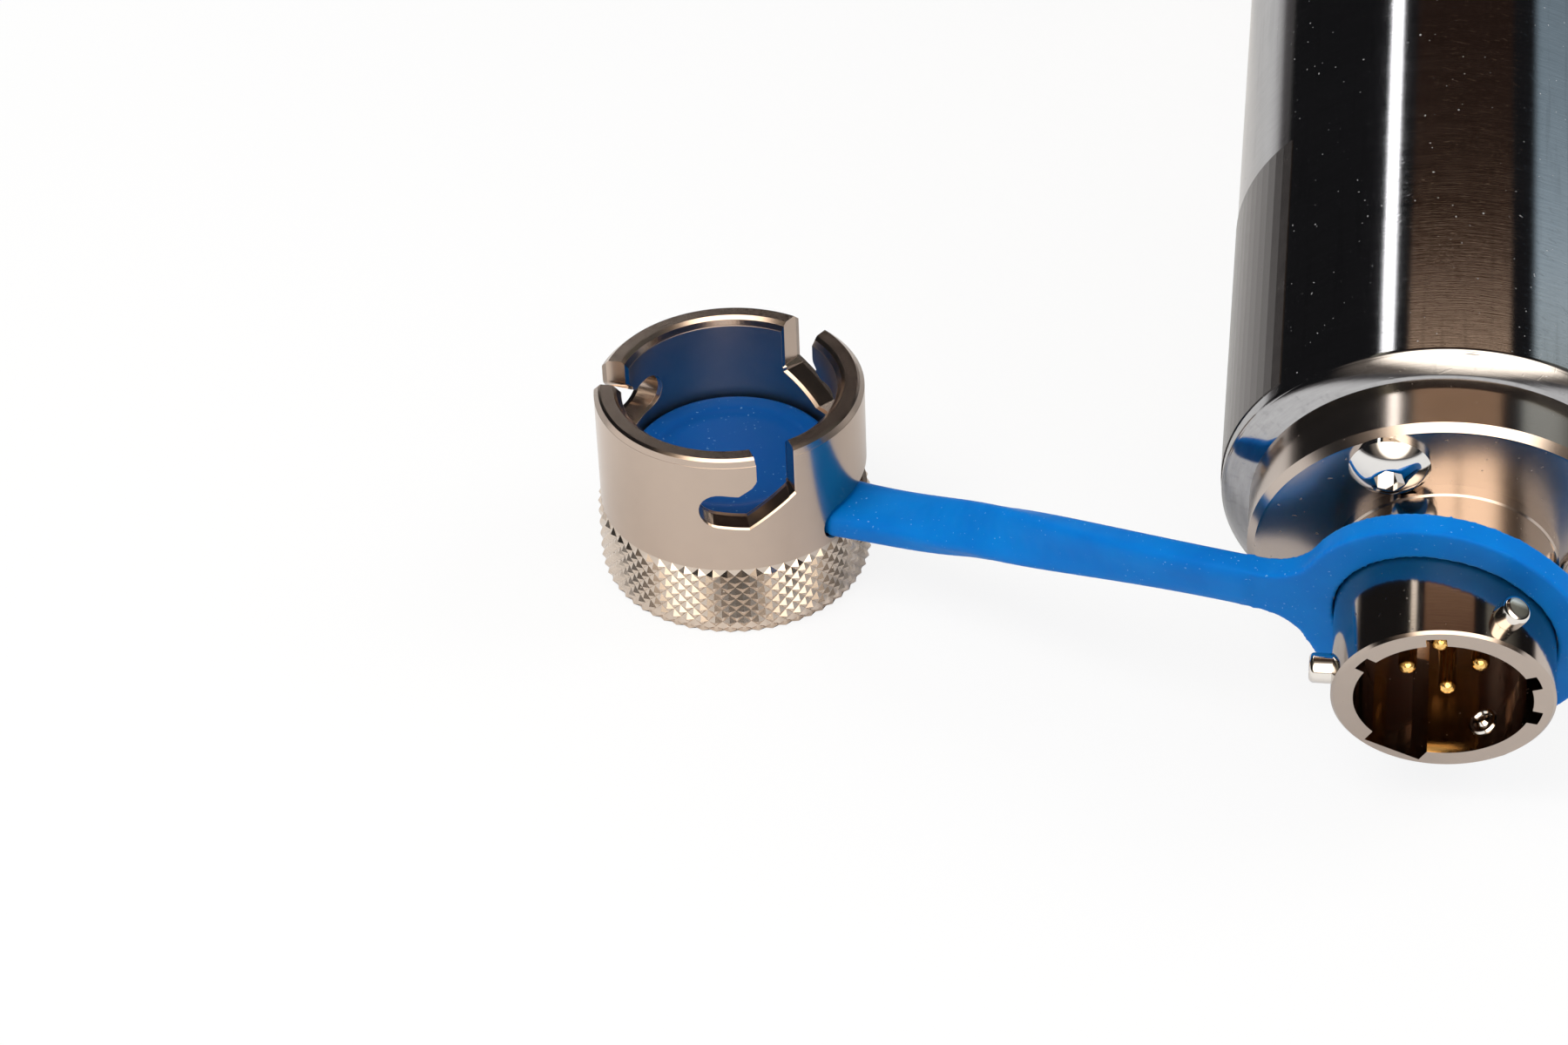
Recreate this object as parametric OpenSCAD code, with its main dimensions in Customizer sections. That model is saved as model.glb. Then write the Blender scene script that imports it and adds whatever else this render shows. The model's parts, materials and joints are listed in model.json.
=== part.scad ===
// Water quality probe: a dissolved-oxygen sensor of 25 mm diameter, lying with its connector
// low. A bayonet receptacle closes the head, a tethered bayonet cap stands beside it, and a
// union nut holds the shaft in a side port. Lengths along the probe are counted from the
// connector's face, which holds the origin, towards the sensing tip.

/* [Head] */
// Diameter of the head tube, the shaft and the tip
body_d = 25; // [24:0.5:28]
// Wall of the head tube
tube_wall = 4; // [3.5:0.1:4.5]
// Length of the head tube
head_l = 70; // [60:1:90]
// Chamfer on the head tube's end
tube_chamfer = 0.5; // [0.2:0.1:0.8]
// Thickness of the tube's end wall, which takes the screws
end_wall = 6; // [5:0.25:8]
// Width of the film label along the tube
label_l = 18.2; // [10:0.2:24]
// Part of a turn that the label covers, in degrees
label_arc = 150; // [60:5:170]

/* [Connector] */
// Diameter of the receptacle's barrel
barrel_d = 12; // [11.6:0.1:12.4]
// Length of the barrel in front of the flange
barrel_l = 9.9; // [9.4:0.1:14]
// Wall of the barrel
barrel_wall = 1.2; // [1:0.05:1.3]
// Depth of the keyways in the barrel's bore
keyway_depth = 0.55; // [0.3:0.05:0.7]
// Diameter of the round flange
flange_d = 21.8; // [21.4:0.1:22.4]
// Thickness of the flange
flange_h = 3.4; // [3:0.1:5]
// Diameter of the circle of the flange screws
screw_circle_d = 16.8; // [16.7:0.05:17]
// Length of a flange screw under its head
screw_l = 7; // [6:0.25:8]
// Diameter of the contact pins
contact_d = 1; // [0.8:0.05:1.1]
// Diameter of the circle of the contact pins
contact_circle_d = 3.9; // [3.6:0.1:4.4]
// Depth of the contact tips below the barrel's face
contact_recess = 2; // [1:0.1:3]
// Depth of the insert below the barrel's face
insert_recess = 7.5; // [4:0.1:8]

/* [Bayonet lugs] */
// Diameter of a bayonet lug
lug_d = 1.65; // [1.4:0.05:1.8]
// Height of a lug over the barrel
lug_out = 1.2; // [0.9:0.05:1.4]
// Distance of the lugs from the barrel's face
lug_back = 1.75; // [1.5:0.05:2]

/* [Tether] */
// Width of the tether's ring, from bore to rim
ring_w = 2.1; // [1.6:0.1:2.3]
// Thickness of the tether's ring
ring_h = 1.4; // [1:0.1:1.6]
// Lean of the ring towards the strap's pull, in degrees
ring_lean = 11; // [4:1:12]
// Distance of the ring's middle from the barrel's face
ring_at = 5.4; // [5:0.1:6]
// Width of the strap
strap_w = 3.15; // [2.4:0.05:3.6]
// Thickness of the strap
strap_h = 1.75; // [1.2:0.05:1.8]
// Extra width of the strap where it leaves the cap
strap_flare = 1.15; // [0:0.05:1.2]
// Thickness of the disc inside the cap
disc_h = 2.35; // [1.9:0.05:2.6]

/* [Cap] */
// Height of the cap
cap_h = 12.4; // [11.5:0.1:14]
// Diameter of the cap above the knurl
cap_d = 15.7; // [15.3:0.1:16.6]
// Height of the knurled grip and of the floor in it
grip_h = 4.7; // [4:0.1:5.5]
// Height of the knurl over the cap's wall
knurl_out = 0.2; // [0.1:0.05:0.3]
// Width of the bayonet slots
slot_w = 2.35; // [2.2:0.05:2.6]
// Depth of the slots' resting end below the rim
dwell_depth = 3.5; // [3.3:0.05:3.8]
// Turn from a slot's mouth to its resting end, in degrees
slot_turn = 24.6; // [22:0.2:28]
// Height of the window that lets the strap out
window_h = 2.15; // [2.1:0.05:2.3]

/* [Union nut] */
// Width across the flats of the union nut
nut_af = 60; // [56:1:65]
// Height of the union nut
nut_h = 18; // [14:0.5:24]
// Thickness of the nut's inner wall, which pushes on the collar
nut_web = 4; // [3:0.25:5]
// Gap between the collar and the crests of the nut's thread
thread_gap = 1.075; // [0.8:0.025:1.5]
// Space between the head tube and the union nut
nut_gap = 2.7; // [1:0.1:6]
// Thickness of the slide ring between nut and collar
slide_ring_h = 1.5; // [1:0.1:2.5]

/* [Shaft and tip] */
// Diameter of the collar on the shaft
collar_d = 36.8; // [33:0.2:37.2]
// Thickness of the collar
collar_h = 3.5; // [2.5:0.1:5]
// Length from the collar to the tip
insertion_l = 43; // [40:1:60]
// Bore through the shaft
shaft_bore = 13.6; // [12.8:0.1:14]
// Thickness of the seal ring on the shaft
shaft_seal = 2.6; // [2:0.1:3]
// Length of the screwed sleeve at the tip
sleeve_l = 22; // [20:0.5:26]
// Wall of the sleeve around its thread
sleeve_wall = 1.95; // [1.6:0.05:2.2]
// Diameter of the opening in the sleeve's end
window_d = 14; // [12.4:0.1:15]

/* [Sensing insides] */
// Diameter of the electrode body behind the membrane
electrode_d = 10; // [8:0.1:10.4]
// Thickness of the membrane
membrane_h = 0.5; // [0.2:0.05:0.8]
// Diameter of the glass rod in the electrode body
glass_d = 3.2; // [2:0.1:4]
// Diameter of the cathode wire
cathode_d = 0.6; // [0.3:0.05:1]
// Length of the silver anode
anode_l = 7; // [4:0.5:8]
// Diameter of the thermistor
thermistor_d = 1.8; // [1:0.1:2]

/* [Wiring] */
// Length of the terminal board
board_l = 24; // [16:1:34]
// Thickness of the terminal board
board_h = 1.6; // [1:0.1:2]
// Diameter of an insulated wire
wire_d = 0.9; // [0.5:0.05:1]

/* [Fits] */
// Gap between turned pieces that slide or turn in each other
running_fit = 0.05; // [0.03:0.01:0.08]
// Gap around pieces that only drop in
loose_fit = 0.15; // [0.1:0.01:0.25]

/* [Hidden] */
$fn = 96;
eps = 0.01;

body_r = body_d / 2;
tube_r = body_r - tube_wall;
barrel_r = barrel_d / 2;
socket_r = barrel_r - barrel_wall;

// Stations along the probe
flange_at = barrel_l;
tube_at = flange_at + flange_h;
end_rise = 0.3;
tube_edge = tube_at + end_rise + tube_chamfer;
tube_back = tube_at + head_l;
nut_at = tube_back + nut_gap;
slide_ring_at = nut_at + nut_web + running_fit;
collar_at = slide_ring_at + slide_ring_h + running_fit;
collar_front = collar_at + collar_h;
tip_at = collar_front + insertion_l;
sleeve_at = tip_at - sleeve_l;
crest_r = collar_d / 2 + thread_gap;

// The probe lies on the tube's edge and on a flat of the union nut
tilt = atan((nut_af / 2 - body_r) / (nut_at - tube_edge));
bench = -(body_r * cos(tilt) - tube_edge * sin(tilt));

// Angles round the probe, as seen by someone who looks at the connector
lug_angles = [60, 180, 300];
screw_angles = [114, 234, 354];
contact_angles = [8.5, 98.5, 188.5, 278.5];
master_key_angle = -118;
small_key_angles = [105, 140, 215, 265];
master_key_w = 3.4;
small_key_w = 1.1;
label_edge_angle = 139.5;
label_at = tube_edge + 0.7;
label_film = 0.06;

// Connector
edge_chamfer = 0.4;
neck_r = barrel_r + 0.1;
neck_l = 0.7;
rear_shell_r = barrel_r - 0.55;
spigot_r = rear_shell_r + running_fit + 1.1;
spigot_bore_r = rear_shell_r + running_fit;
spigot_l = end_wall + 0.3;
shell_back = tube_at + spigot_l + 3;
shell_lip_r = socket_r - 0.6;
insert_step = 4;
insert_back = shell_back - insert_step;
lug_in = socket_r - 0.35;
seal_h = 0.7;
seal_groove_r = spigot_r + running_fit - seal_h;
seal_at = tube_at + 3.4;
screw_r = 1.2;
screw_head_r = 2.2;
screw_head_h = 1.35;
screw_rim_h = 0.3;
hex_key = 1.5;
hex_depth = 0.8;
contact_tail = 2.5;
contact_back = insert_back + contact_tail;

// Wiring
lead_l = 7;
board_at = contact_back + lead_l;
board_w = 2 * tube_r - 2.6;
board_back = board_at + board_l;
wire_overlap = 4;
pad_l = 2.4;
signal_spacing = 3;

// Shaft
tongue_l = 10;
tongue_at = tube_back - tongue_l;
tongue_gap = 2;
electrode_back = tongue_at - tongue_gap;
electrode_r = electrode_d / 2;
rod_body_r = shaft_bore / 2 - running_fit;
shaft_groove_step = 4;
shaft_groove_at = collar_front + shaft_groove_step;
shaft_groove_w = shaft_seal + 0.6;
shaft_groove_r = body_r - shaft_seal + 0.5;

// Tip
thread_r = body_r - sleeve_wall;
thread_l = 9;
sleeve_groove_at = sleeve_at + 1;
sleeve_groove_w = 1.5;
small_seal = 1.2;
sleeve_groove_r = thread_r - small_seal + running_fit;
module_r = thread_r - 0.6;
module_at = sleeve_at + thread_l + 1.2;
lip_h = 2;
lip_at = tip_at - lip_h;
nose_r = window_d / 2 - running_fit;
cell_r = electrode_r + 0.3;
membrane_at = tip_at - membrane_h;
electrode_tip = membrane_at - 0.1;
step_l = 4;
step_at = module_at - step_l;
module_groove_at = module_at + 3;
module_groove_r = module_r - small_seal + running_fit;
anode_at = electrode_tip - anode_l - step_l;
anode_wall = 0.8;
glass_l = 20;
glass_back = step_at - glass_l;
cathode_back = step_at - step_l;
bead_r = thermistor_d / 2;
bead_offset = (electrode_r - anode_wall - loose_fit + glass_d / 2) / 2;
bead_step = 8;
bead_at = step_at - bead_step;
bead_l = 6;

// Tether and cap: the cap's axis stands upright on the bench
cap_x = -41.2;
cap_y = 21;
cap_r = cap_d / 2;
bore_r = barrel_r + 0.25;
rim_chamfer = 0.4;
bore_chamfer = 0.47;
slot_angles = [-62.6, 57.4, 177.4];
entry_depth = 2.4;
ramp_depth = 3.68;
ramp_turn = 10.2;
slot_lip = 0.35;
window_from = -33;
window_to = 18;
window_sill = 0.08;
strap_angle = -18;
strap_z = grip_h + window_h / 2;
disc_r = bore_r - loose_fit;
ring_r = barrel_r + running_fit;
ring_rim = ring_r + ring_w;
tab_end = ring_rim + 3;
fillet_r = 3.2;
strap_reach_cap = 7;
strap_reach_ring = 13;
strap_steps = 30;
strap_sides = 20;
flare_end = 0.42;

// Unit vectors of the probe: along it, and upwards across it
along = [0, cos(tilt), sin(tilt)];
across = [0, -sin(tilt), cos(tilt)];

module on_probe() {
    rotate([-(90 - tilt), 0, 0]) children();
}

// Places a child at a seen angle and a radius, with its Z along the probe
module around(angle, radius = 0) {
    rotate([0, 0, -angle]) translate([radius, 0, 0]) children();
}

module tube(r_out, r_in, from, to) {
    translate([0, 0, from]) difference() {
        cylinder(r = r_out, h = to - from);
        translate([0, 0, -eps]) cylinder(r = r_in, h = to - from + 2 * eps);
    }
}

module seal_ring(groove_r, section, mid) {
    translate([0, 0, mid]) rotate_extrude()
        translate([groove_r + section / 2, 0]) circle(r = section / 2 - 0.01, $fn = 32);
}

module head_tube() {
    color([0.62, 0.62, 0.63]) on_probe() difference() {
        rotate_extrude() polygon([
            [spigot_r + running_fit, tube_at],
            [flange_d / 2 + 0.05, tube_at],
            [body_r - tube_chamfer, tube_at + end_rise],
            [body_r, tube_edge],
            [body_r, tube_back - 0.3],
            [body_r - 0.3, tube_back],
            [tube_r, tube_back],
            [tube_r, tube_at + end_wall],
            [spigot_r + running_fit, tube_at + end_wall]]);
        for (a = screw_angles) around(a, screw_circle_d / 2)
            translate([0, 0, tube_at - eps])
                cylinder(r = screw_r + running_fit, h = screw_l - flange_h + 0.4, $fn = 32);
    }
}

module film_label() {
    color([0.86, 0.87, 0.88]) on_probe()
        rotate([0, 0, -label_edge_angle - label_arc])
            rotate_extrude(angle = label_arc)
                translate([body_r, label_at]) square([label_film, label_l]);
}

module connector_flange() {
    color([0.74, 0.7, 0.66]) on_probe() difference() {
        rotate_extrude() polygon([
            [spigot_bore_r, flange_at],
            [flange_d / 2 - edge_chamfer, flange_at],
            [flange_d / 2, flange_at + edge_chamfer],
            [flange_d / 2, tube_at],
            [spigot_r, tube_at],
            [spigot_r, seal_at],
            [seal_groove_r, seal_at],
            [seal_groove_r, seal_at + seal_h + 0.2],
            [spigot_r, seal_at + seal_h + 0.2],
            [spigot_r, tube_at + spigot_l],
            [spigot_bore_r, tube_at + spigot_l]]);
        for (a = screw_angles) around(a, screw_circle_d / 2)
            translate([0, 0, flange_at - eps])
                cylinder(r = screw_r + 0.1, h = flange_h + 2 * eps, $fn = 32);
    }
}

module flange_seal() {
    color([0.1, 0.1, 0.1]) on_probe()
        seal_ring(seal_groove_r, seal_h, seal_at + seal_h / 2 + 0.1);
}

module button_screw() {
    dome_h = screw_head_h - screw_rim_h;
    dome_r = (screw_head_r * screw_head_r + dome_h * dome_h) / (2 * dome_h);
    difference() {
        union() {
            intersection() {
                translate([0, 0, -screw_head_h]) cylinder(r = screw_head_r, h = screw_head_h);
                translate([0, 0, dome_r - screw_head_h]) sphere(r = dome_r);
            }
            translate([0, 0, -eps]) cylinder(r = screw_r, h = screw_l + eps, $fn = 32);
        }
        translate([0, 0, -screw_head_h - eps])
            cylinder(r = hex_key / sqrt(3), h = hex_depth, $fn = 6);
    }
}

module flange_screws() {
    color([0.8, 0.78, 0.74]) on_probe()
        for (a = screw_angles) around(a, screw_circle_d / 2)
            translate([0, 0, flange_at]) button_screw();
}

module keyway(angle, width) {
    around(angle) translate([0, -width / 2, -eps])
        cube([socket_r + keyway_depth, width, insert_recess]);
}

module receptacle_shell() {
    color([0.75, 0.7, 0.66]) on_probe() difference() {
        rotate_extrude() polygon([
            [socket_r, 0],
            [barrel_r - 0.15, 0],
            [barrel_r, 0.15],
            [barrel_r, flange_at - neck_l],
            [neck_r, flange_at - neck_l + 0.1],
            [neck_r, flange_at],
            [rear_shell_r, flange_at],
            [rear_shell_r, shell_back],
            [shell_lip_r, shell_back],
            [shell_lip_r, insert_back],
            [socket_r, insert_back]]);
        keyway(master_key_angle, master_key_w);
        for (a = small_key_angles) keyway(master_key_angle + a, small_key_w);
        for (a = lug_angles) around(a) translate([socket_r - 1, 0, lug_back])
            rotate([0, 90, 0]) cylinder(r = lug_d / 2 + 0.01, h = barrel_wall + 2, $fn = 48);
    }
}

module receptacle_nut() {
    nut_r = tube_r - 0.7;
    color([0.72, 0.7, 0.68]) on_probe() translate([0, 0, tube_at + spigot_l]) difference() {
        intersection() {
            cylinder(r = nut_r * 1.1, h = 2.4, $fn = 6);
            cylinder(r = nut_r, h = 2.4);
        }
        translate([0, 0, -eps]) cylinder(r = rear_shell_r + running_fit, h = 3);
    }
}

module bayonet_lugs() {
    round_r = lug_d / 2;
    color([0.85, 0.84, 0.82]) on_probe()
        for (a = lug_angles) around(a) translate([0, 0, lug_back]) rotate([0, 90, 0])
            rotate_extrude() polygon([
                [0, lug_in],
                [round_r * 0.55, lug_in],
                [round_r, lug_in + 0.3],
                [round_r, barrel_r + lug_out - 0.15],
                [round_r - 0.15, barrel_r + lug_out],
                [0, barrel_r + lug_out]]);
}

module at_contacts() {
    for (a = contact_angles) around(a, contact_circle_d / 2) children();
}

module contact_insert() {
    color([0.16, 0.09, 0.06]) on_probe() difference() {
        translate([0, 0, insert_recess])
            cylinder(r = socket_r - 0.03, h = insert_back - insert_recess);
        at_contacts() translate([0, 0, insert_recess - eps])
            cylinder(r = contact_d / 2 + 0.02, h = insert_back - insert_recess + 1, $fn = 32);
    }
}

module contact_pins() {
    color([0.85, 0.65, 0.3]) on_probe() at_contacts() {
        translate([0, 0, contact_recess + contact_d / 2]) {
            sphere(r = contact_d / 2, $fn = 32);
            cylinder(r = contact_d / 2, h = contact_back - contact_recess - contact_d / 2,
                $fn = 32);
        }
    }
}

module lead_wires() {
    color([0.75, 0.2, 0.15]) on_probe()
        for (a = contact_angles) {
            beside = abs(sin(a)) > 0.7;
            around(a, contact_circle_d / 2) translate([0, 0, contact_back])
                cylinder(r = wire_d / 2,
                    h = board_at - contact_back + (beside ? wire_overlap : 0), $fn = 24);
        }
}

module terminal_board() {
    color([0.12, 0.35, 0.2]) on_probe() {
        difference() {
            translate([-board_w / 2, -board_h / 2, board_at]) cube([board_w, board_h, board_l]);
            for (x = [-board_w / 2 + 1.6, board_w / 2 - 1.6])
                translate([x, board_h, board_back - 3]) rotate([90, 0, 0])
                    cylinder(r = 0.8, h = 2 * board_h, $fn = 32);
        }
        for (a = contact_angles) if (abs(sin(a)) > 0.7) {
            x = contact_circle_d / 2 * cos(a);
            y = -contact_circle_d / 2 * sin(a);
            reach = abs(y) - wire_d / 2 - board_h / 2;
            translate([x - 0.7, y > 0 ? board_h / 2 - eps : -board_h / 2 - reach + eps,
                board_at + wire_overlap - pad_l])
                cube([1.4, reach, pad_l]);
        }
    }
}

module signal_wires() {
    color([0.2, 0.3, 0.6]) on_probe()
        for (i = [-1.5:1:1.5]) translate([i * signal_spacing, 0, board_back])
            cylinder(r = wire_d / 2, h = electrode_back - board_back, $fn = 24);
}

module shaft() {
    color([0.66, 0.66, 0.67]) on_probe() rotate_extrude() polygon([
        [shaft_bore / 2, tongue_at],
        [tube_r - running_fit - 0.4, tongue_at],
        [tube_r - running_fit, tongue_at + 0.4],
        [tube_r - running_fit, tube_back],
        [body_r - 0.3, tube_back],
        [body_r, tube_back + 0.3],
        [body_r, collar_at],
        [collar_d / 2 - 0.4, collar_at],
        [collar_d / 2, collar_at + 0.4],
        [collar_d / 2, collar_front - 0.4],
        [collar_d / 2 - 0.4, collar_front],
        [body_r, collar_front],
        [body_r, shaft_groove_at],
        [shaft_groove_r, shaft_groove_at],
        [shaft_groove_r, shaft_groove_at + shaft_groove_w],
        [body_r, shaft_groove_at + shaft_groove_w],
        [body_r, sleeve_at],
        [thread_r, sleeve_at],
        [thread_r, sleeve_groove_at],
        [sleeve_groove_r, sleeve_groove_at],
        [sleeve_groove_r, sleeve_groove_at + sleeve_groove_w],
        [thread_r, sleeve_groove_at + sleeve_groove_w],
        [thread_r, sleeve_at + thread_l - 0.5],
        [thread_r - 0.5, sleeve_at + thread_l],
        [shaft_bore / 2, sleeve_at + thread_l]]);
}

module shaft_seal_ring() {
    color([0.09, 0.09, 0.09]) on_probe()
        seal_ring(shaft_groove_r, shaft_seal, shaft_groove_at + shaft_groove_w / 2);
}

module sleeve_seal_ring() {
    color([0.09, 0.09, 0.09]) on_probe()
        seal_ring(sleeve_groove_r, small_seal, sleeve_groove_at + sleeve_groove_w / 2);
}

module electrode_body() {
    slim_r = electrode_r - anode_wall;
    color([0.85, 0.82, 0.74]) on_probe() difference() {
        rotate_extrude() polygon([
            [0, electrode_back],
            [rod_body_r, electrode_back],
            [rod_body_r, step_at],
            [electrode_r, step_at + 0.8],
            [electrode_r, anode_at - running_fit],
            [slim_r, anode_at - running_fit],
            [slim_r, anode_at + anode_l + running_fit],
            [electrode_r, anode_at + anode_l + running_fit],
            [electrode_r, electrode_tip - 0.6],
            [electrode_r - 0.6, electrode_tip],
            [0, electrode_tip]]);
        translate([0, 0, glass_back]) cylinder(r = glass_d / 2 + 0.02, h = tip_at - glass_back);
        translate([bead_offset, 0, bead_at]) cylinder(r = bead_r + 0.02, h = bead_l);
    }
}

module glass_rod() {
    color([0.75, 0.85, 0.85]) on_probe() difference() {
        translate([0, 0, glass_back]) cylinder(r = glass_d / 2, h = electrode_tip - glass_back);
        translate([0, 0, cathode_back]) cylinder(r = cathode_d / 2 + 0.01, h = tip_at, $fn = 32);
    }
}

module cathode() {
    color([0.88, 0.87, 0.85]) on_probe() translate([0, 0, cathode_back])
        cylinder(r = cathode_d / 2, h = electrode_tip - cathode_back, $fn = 32);
}

module anode() {
    color([0.83, 0.83, 0.84]) on_probe()
        tube(electrode_r, electrode_r - anode_wall + 0.02, anode_at, anode_at + anode_l);
}

module thermistor() {
    color([0.2, 0.2, 0.22]) on_probe() translate([bead_offset, 0, bead_at])
        cylinder(r = bead_r, h = bead_l, $fn = 48);
}

module slide_ring() {
    color([0.93, 0.93, 0.9]) on_probe()
        tube(collar_d / 2 - 1, body_r + running_fit, slide_ring_at, slide_ring_at + slide_ring_h);
}

module union_nut() {
    flat_r = nut_af / 2;
    corner_r = flat_r * 1.1;
    color([0.6, 0.6, 0.61]) on_probe() translate([0, 0, nut_at]) difference() {
        intersection() {
            cylinder(r = flat_r / cos(30), h = nut_h, $fn = 6);
            rotate_extrude() polygon([
                [0, 0],
                [corner_r, 0],
                [corner_r + 2, 1.1],
                [corner_r + 2, nut_h - 1.1],
                [corner_r, nut_h],
                [0, nut_h]]);
        }
        translate([0, 0, -eps]) cylinder(r = body_r + running_fit + label_film, h = nut_h + 1);
        translate([0, 0, nut_web]) cylinder(r = crest_r, h = nut_h);
        translate([0, 0, nut_h - 1.5]) cylinder(r1 = crest_r, r2 = crest_r + 1.6, h = 1.6);
    }
}

module membrane_body() {
    color([0.9, 0.9, 0.88]) on_probe() rotate_extrude() polygon([
        [cell_r, module_at],
        [module_r, module_at],
        [module_r, module_groove_at],
        [module_groove_r, module_groove_at],
        [module_groove_r, module_groove_at + 1.5],
        [module_r, module_groove_at + 1.5],
        [module_r, lip_at - running_fit],
        [nose_r, lip_at - running_fit],
        [nose_r, tip_at - 0.3],
        [nose_r - 0.3, tip_at],
        [cell_r, tip_at]]);
}

module membrane() {
    color([0.55, 0.56, 0.58]) on_probe() translate([0, 0, membrane_at])
        cylinder(r = cell_r - 0.02, h = membrane_h);
}

module membrane_seal_ring() {
    color([0.09, 0.09, 0.09]) on_probe()
        seal_ring(module_groove_r, small_seal, module_groove_at + 0.75);
}

module cap_sleeve() {
    color([0.68, 0.68, 0.69]) on_probe() rotate_extrude() polygon([
        [thread_r + running_fit, sleeve_at + running_fit],
        [body_r - 0.3, sleeve_at + running_fit],
        [body_r, sleeve_at + running_fit + 0.3],
        [body_r, tip_at - 1.5],
        [body_r - 1.5, tip_at],
        [window_d / 2, tip_at],
        [window_d / 2, lip_at],
        [module_r + running_fit, lip_at],
        [module_r + running_fit, module_at - 0.6],
        [thread_r + running_fit, module_at - 0.6]]);
}

// Strap: a smooth curve from the cap's window to the ring's tab
cap_foot = [cap_x, cap_y, bench];
out_of_cap = [cos(strap_angle), sin(strap_angle), 0];
out_of_ring = -cos(ring_lean) * [1, 0, 0] + sin(ring_lean) * along;
strap_root = cap_foot + [0, 0, strap_z] + (disc_r - 1.5) * out_of_cap;
strap_start = cap_foot + [0, 0, strap_z] + (cap_r - 0.35) * out_of_cap;
strap_end = ring_at * along + tab_end * out_of_ring;
strap_tail = ring_at * along + (tab_end - 1.5) * out_of_ring;
strap_mid = [
    strap_start + strap_reach_cap * out_of_cap,
    strap_end + strap_reach_ring * out_of_ring];

function bezier(s) = pow(1 - s, 3) * strap_start + 3 * pow(1 - s, 2) * s * strap_mid[0]
    + 3 * (1 - s) * s * s * strap_mid[1] + pow(s, 3) * strap_end;
function unit(v) = v / norm(v);
function smooth(s) = s * s * (3 - 2 * s);
function strap_point(i) = i == 0 ? strap_root
    : i == strap_steps ? strap_tail
    : bezier((i - 1) / (strap_steps - 2));
function strap_tangent(i) = i <= 1 ? out_of_cap
    : i >= strap_steps - 1 ? -out_of_ring
    : unit(strap_point(i + 1) - strap_point(i - 1));

// The strap lies flat at the cap and turns to face the front at the ring
function strap_facing(i) = let (turn = smooth((i - 1) / (strap_steps - 2)) * (90 + tilt))
    i <= 1 ? [0, 0, 1] : i >= strap_steps - 1 ? ring_face : [0, -sin(turn), cos(turn)];
ring_face = -(cos(ring_lean) * along + sin(ring_lean) * [1, 0, 0]);

// The flare widens the front edge only, and dies out along the strap
function flare(i) = i == 0 ? 0
    : strap_flare * max(0, 1 - (i - 1) / (strap_steps - 2) / flare_end);

function strap_section(i) =
    let (t = strap_tangent(i), f = strap_facing(i), w = unit(cross(f, t)), n = cross(t, w),
        h = i == strap_steps ? ring_h - 0.3 : strap_h,
        b = i == strap_steps ? strap_w - 0.3 : strap_w + flare(i))
    [for (k = [0:strap_sides - 1])
        let (a = 360 * (k + 0.5) / strap_sides, c = cos(a), s = sin(a))
        strap_point(i) - w * flare(i) / 2 + w * b / 2 * sign(c) * pow(abs(c), 0.5)
            + n * h / 2 * sign(s) * pow(abs(s), 0.5)];

module strap() {
    rings = [for (i = [0:strap_steps]) strap_section(i)];
    n = strap_sides;
    faces = concat(
        [[for (k = [0:n - 1]) k]],
        [for (i = [0:strap_steps - 1], k = [0:n - 1])
            [i * n + k, (i + 1) * n + k, (i + 1) * n + (k + 1) % n, i * n + (k + 1) % n]],
        [[for (k = [n - 1:-1:0]) strap_steps * n + k]]);
    polyhedron(points = [for (r = rings, p = r) p], faces = faces, convexity = 6);
}

// The ring leans, but its bore stays true to the barrel, so it can turn there
module tether_ring() {
    tab_w = strap_w - 0.1;
    fillet_y = tab_w / 2 + fillet_r;
    fillet_x = sqrt(pow(ring_rim + fillet_r, 2) - pow(fillet_y, 2));
    flare = 2 * fillet_y * ring_rim / (ring_rim + fillet_r) - 0.1;
    difference() {
        translate([0, 0, ring_at]) rotate([0, ring_lean, 0])
            translate([0, 0, -ring_h / 2]) difference() {
                union() {
                    cylinder(r = ring_rim, h = ring_h);
                    translate([-fillet_x, -flare / 2, 0]) cube([fillet_x, flare, ring_h]);
                    translate([-tab_end, -tab_w / 2, 0]) cube([tab_end, tab_w, ring_h]);
                }
                for (side = [-1, 1]) translate([-fillet_x, side * fillet_y, -1])
                    cylinder(r = fillet_r, h = ring_h + 2);
            }
        cylinder(r = ring_r, h = 2 * ring_at);
    }
}

module tether_disc() {
    seal_rim_r = disc_r - 1.7;
    translate([cap_x, cap_y, bench + grip_h + 0.05]) rotate_extrude() polygon([
        [0, 0],
        [disc_r - 0.3, 0],
        [disc_r, 0.3],
        [disc_r, disc_h - 0.25],
        [disc_r - 0.25, disc_h],
        [seal_rim_r + 0.4, disc_h],
        [seal_rim_r, disc_h - 0.35],
        [0, disc_h - 0.35]]);
}

module tether() {
    color([0.02, 0.4, 0.78]) {
        on_probe() tether_ring();
        strap();
        tether_disc();
    }
}

// Cuts a flat outline through the cap's wall, drawn as seen from outside
module through_wall(angle) {
    rotate([0, 0, angle]) rotate([90, 0, 90]) translate([0, 0, bore_r - 1])
        linear_extrude(cap_r - bore_r + 3) children();
}

// Place on the wall's outer face as seen square on, for a turn away from the view's middle
function wall_x(turn) = cap_r * sin(turn);

// Closed outline of a slot of even width that starts round, bends once and ends upright
function slot_outline(rest, bend, end_x, slope) =
    let (half = slot_w / 2, flat = atan2(bend[1] - rest[1], bend[0] - rest[0]),
        miter = (slope + flat) / 2, reach = half / cos((slope - flat) / 2),
        lower = bend + reach * [sin(miter), -cos(miter)],
        upper = bend - reach * [sin(miter), -cos(miter)])
    concat(
        [for (a = [90:15:270]) rest + half * [cos(a + flat), sin(a + flat)]],
        [lower, [end_x, lower[1] + (end_x - lower[0]) * tan(slope)],
            [end_x, upper[1] + (end_x - upper[0]) * tan(slope)], upper]);

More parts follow.
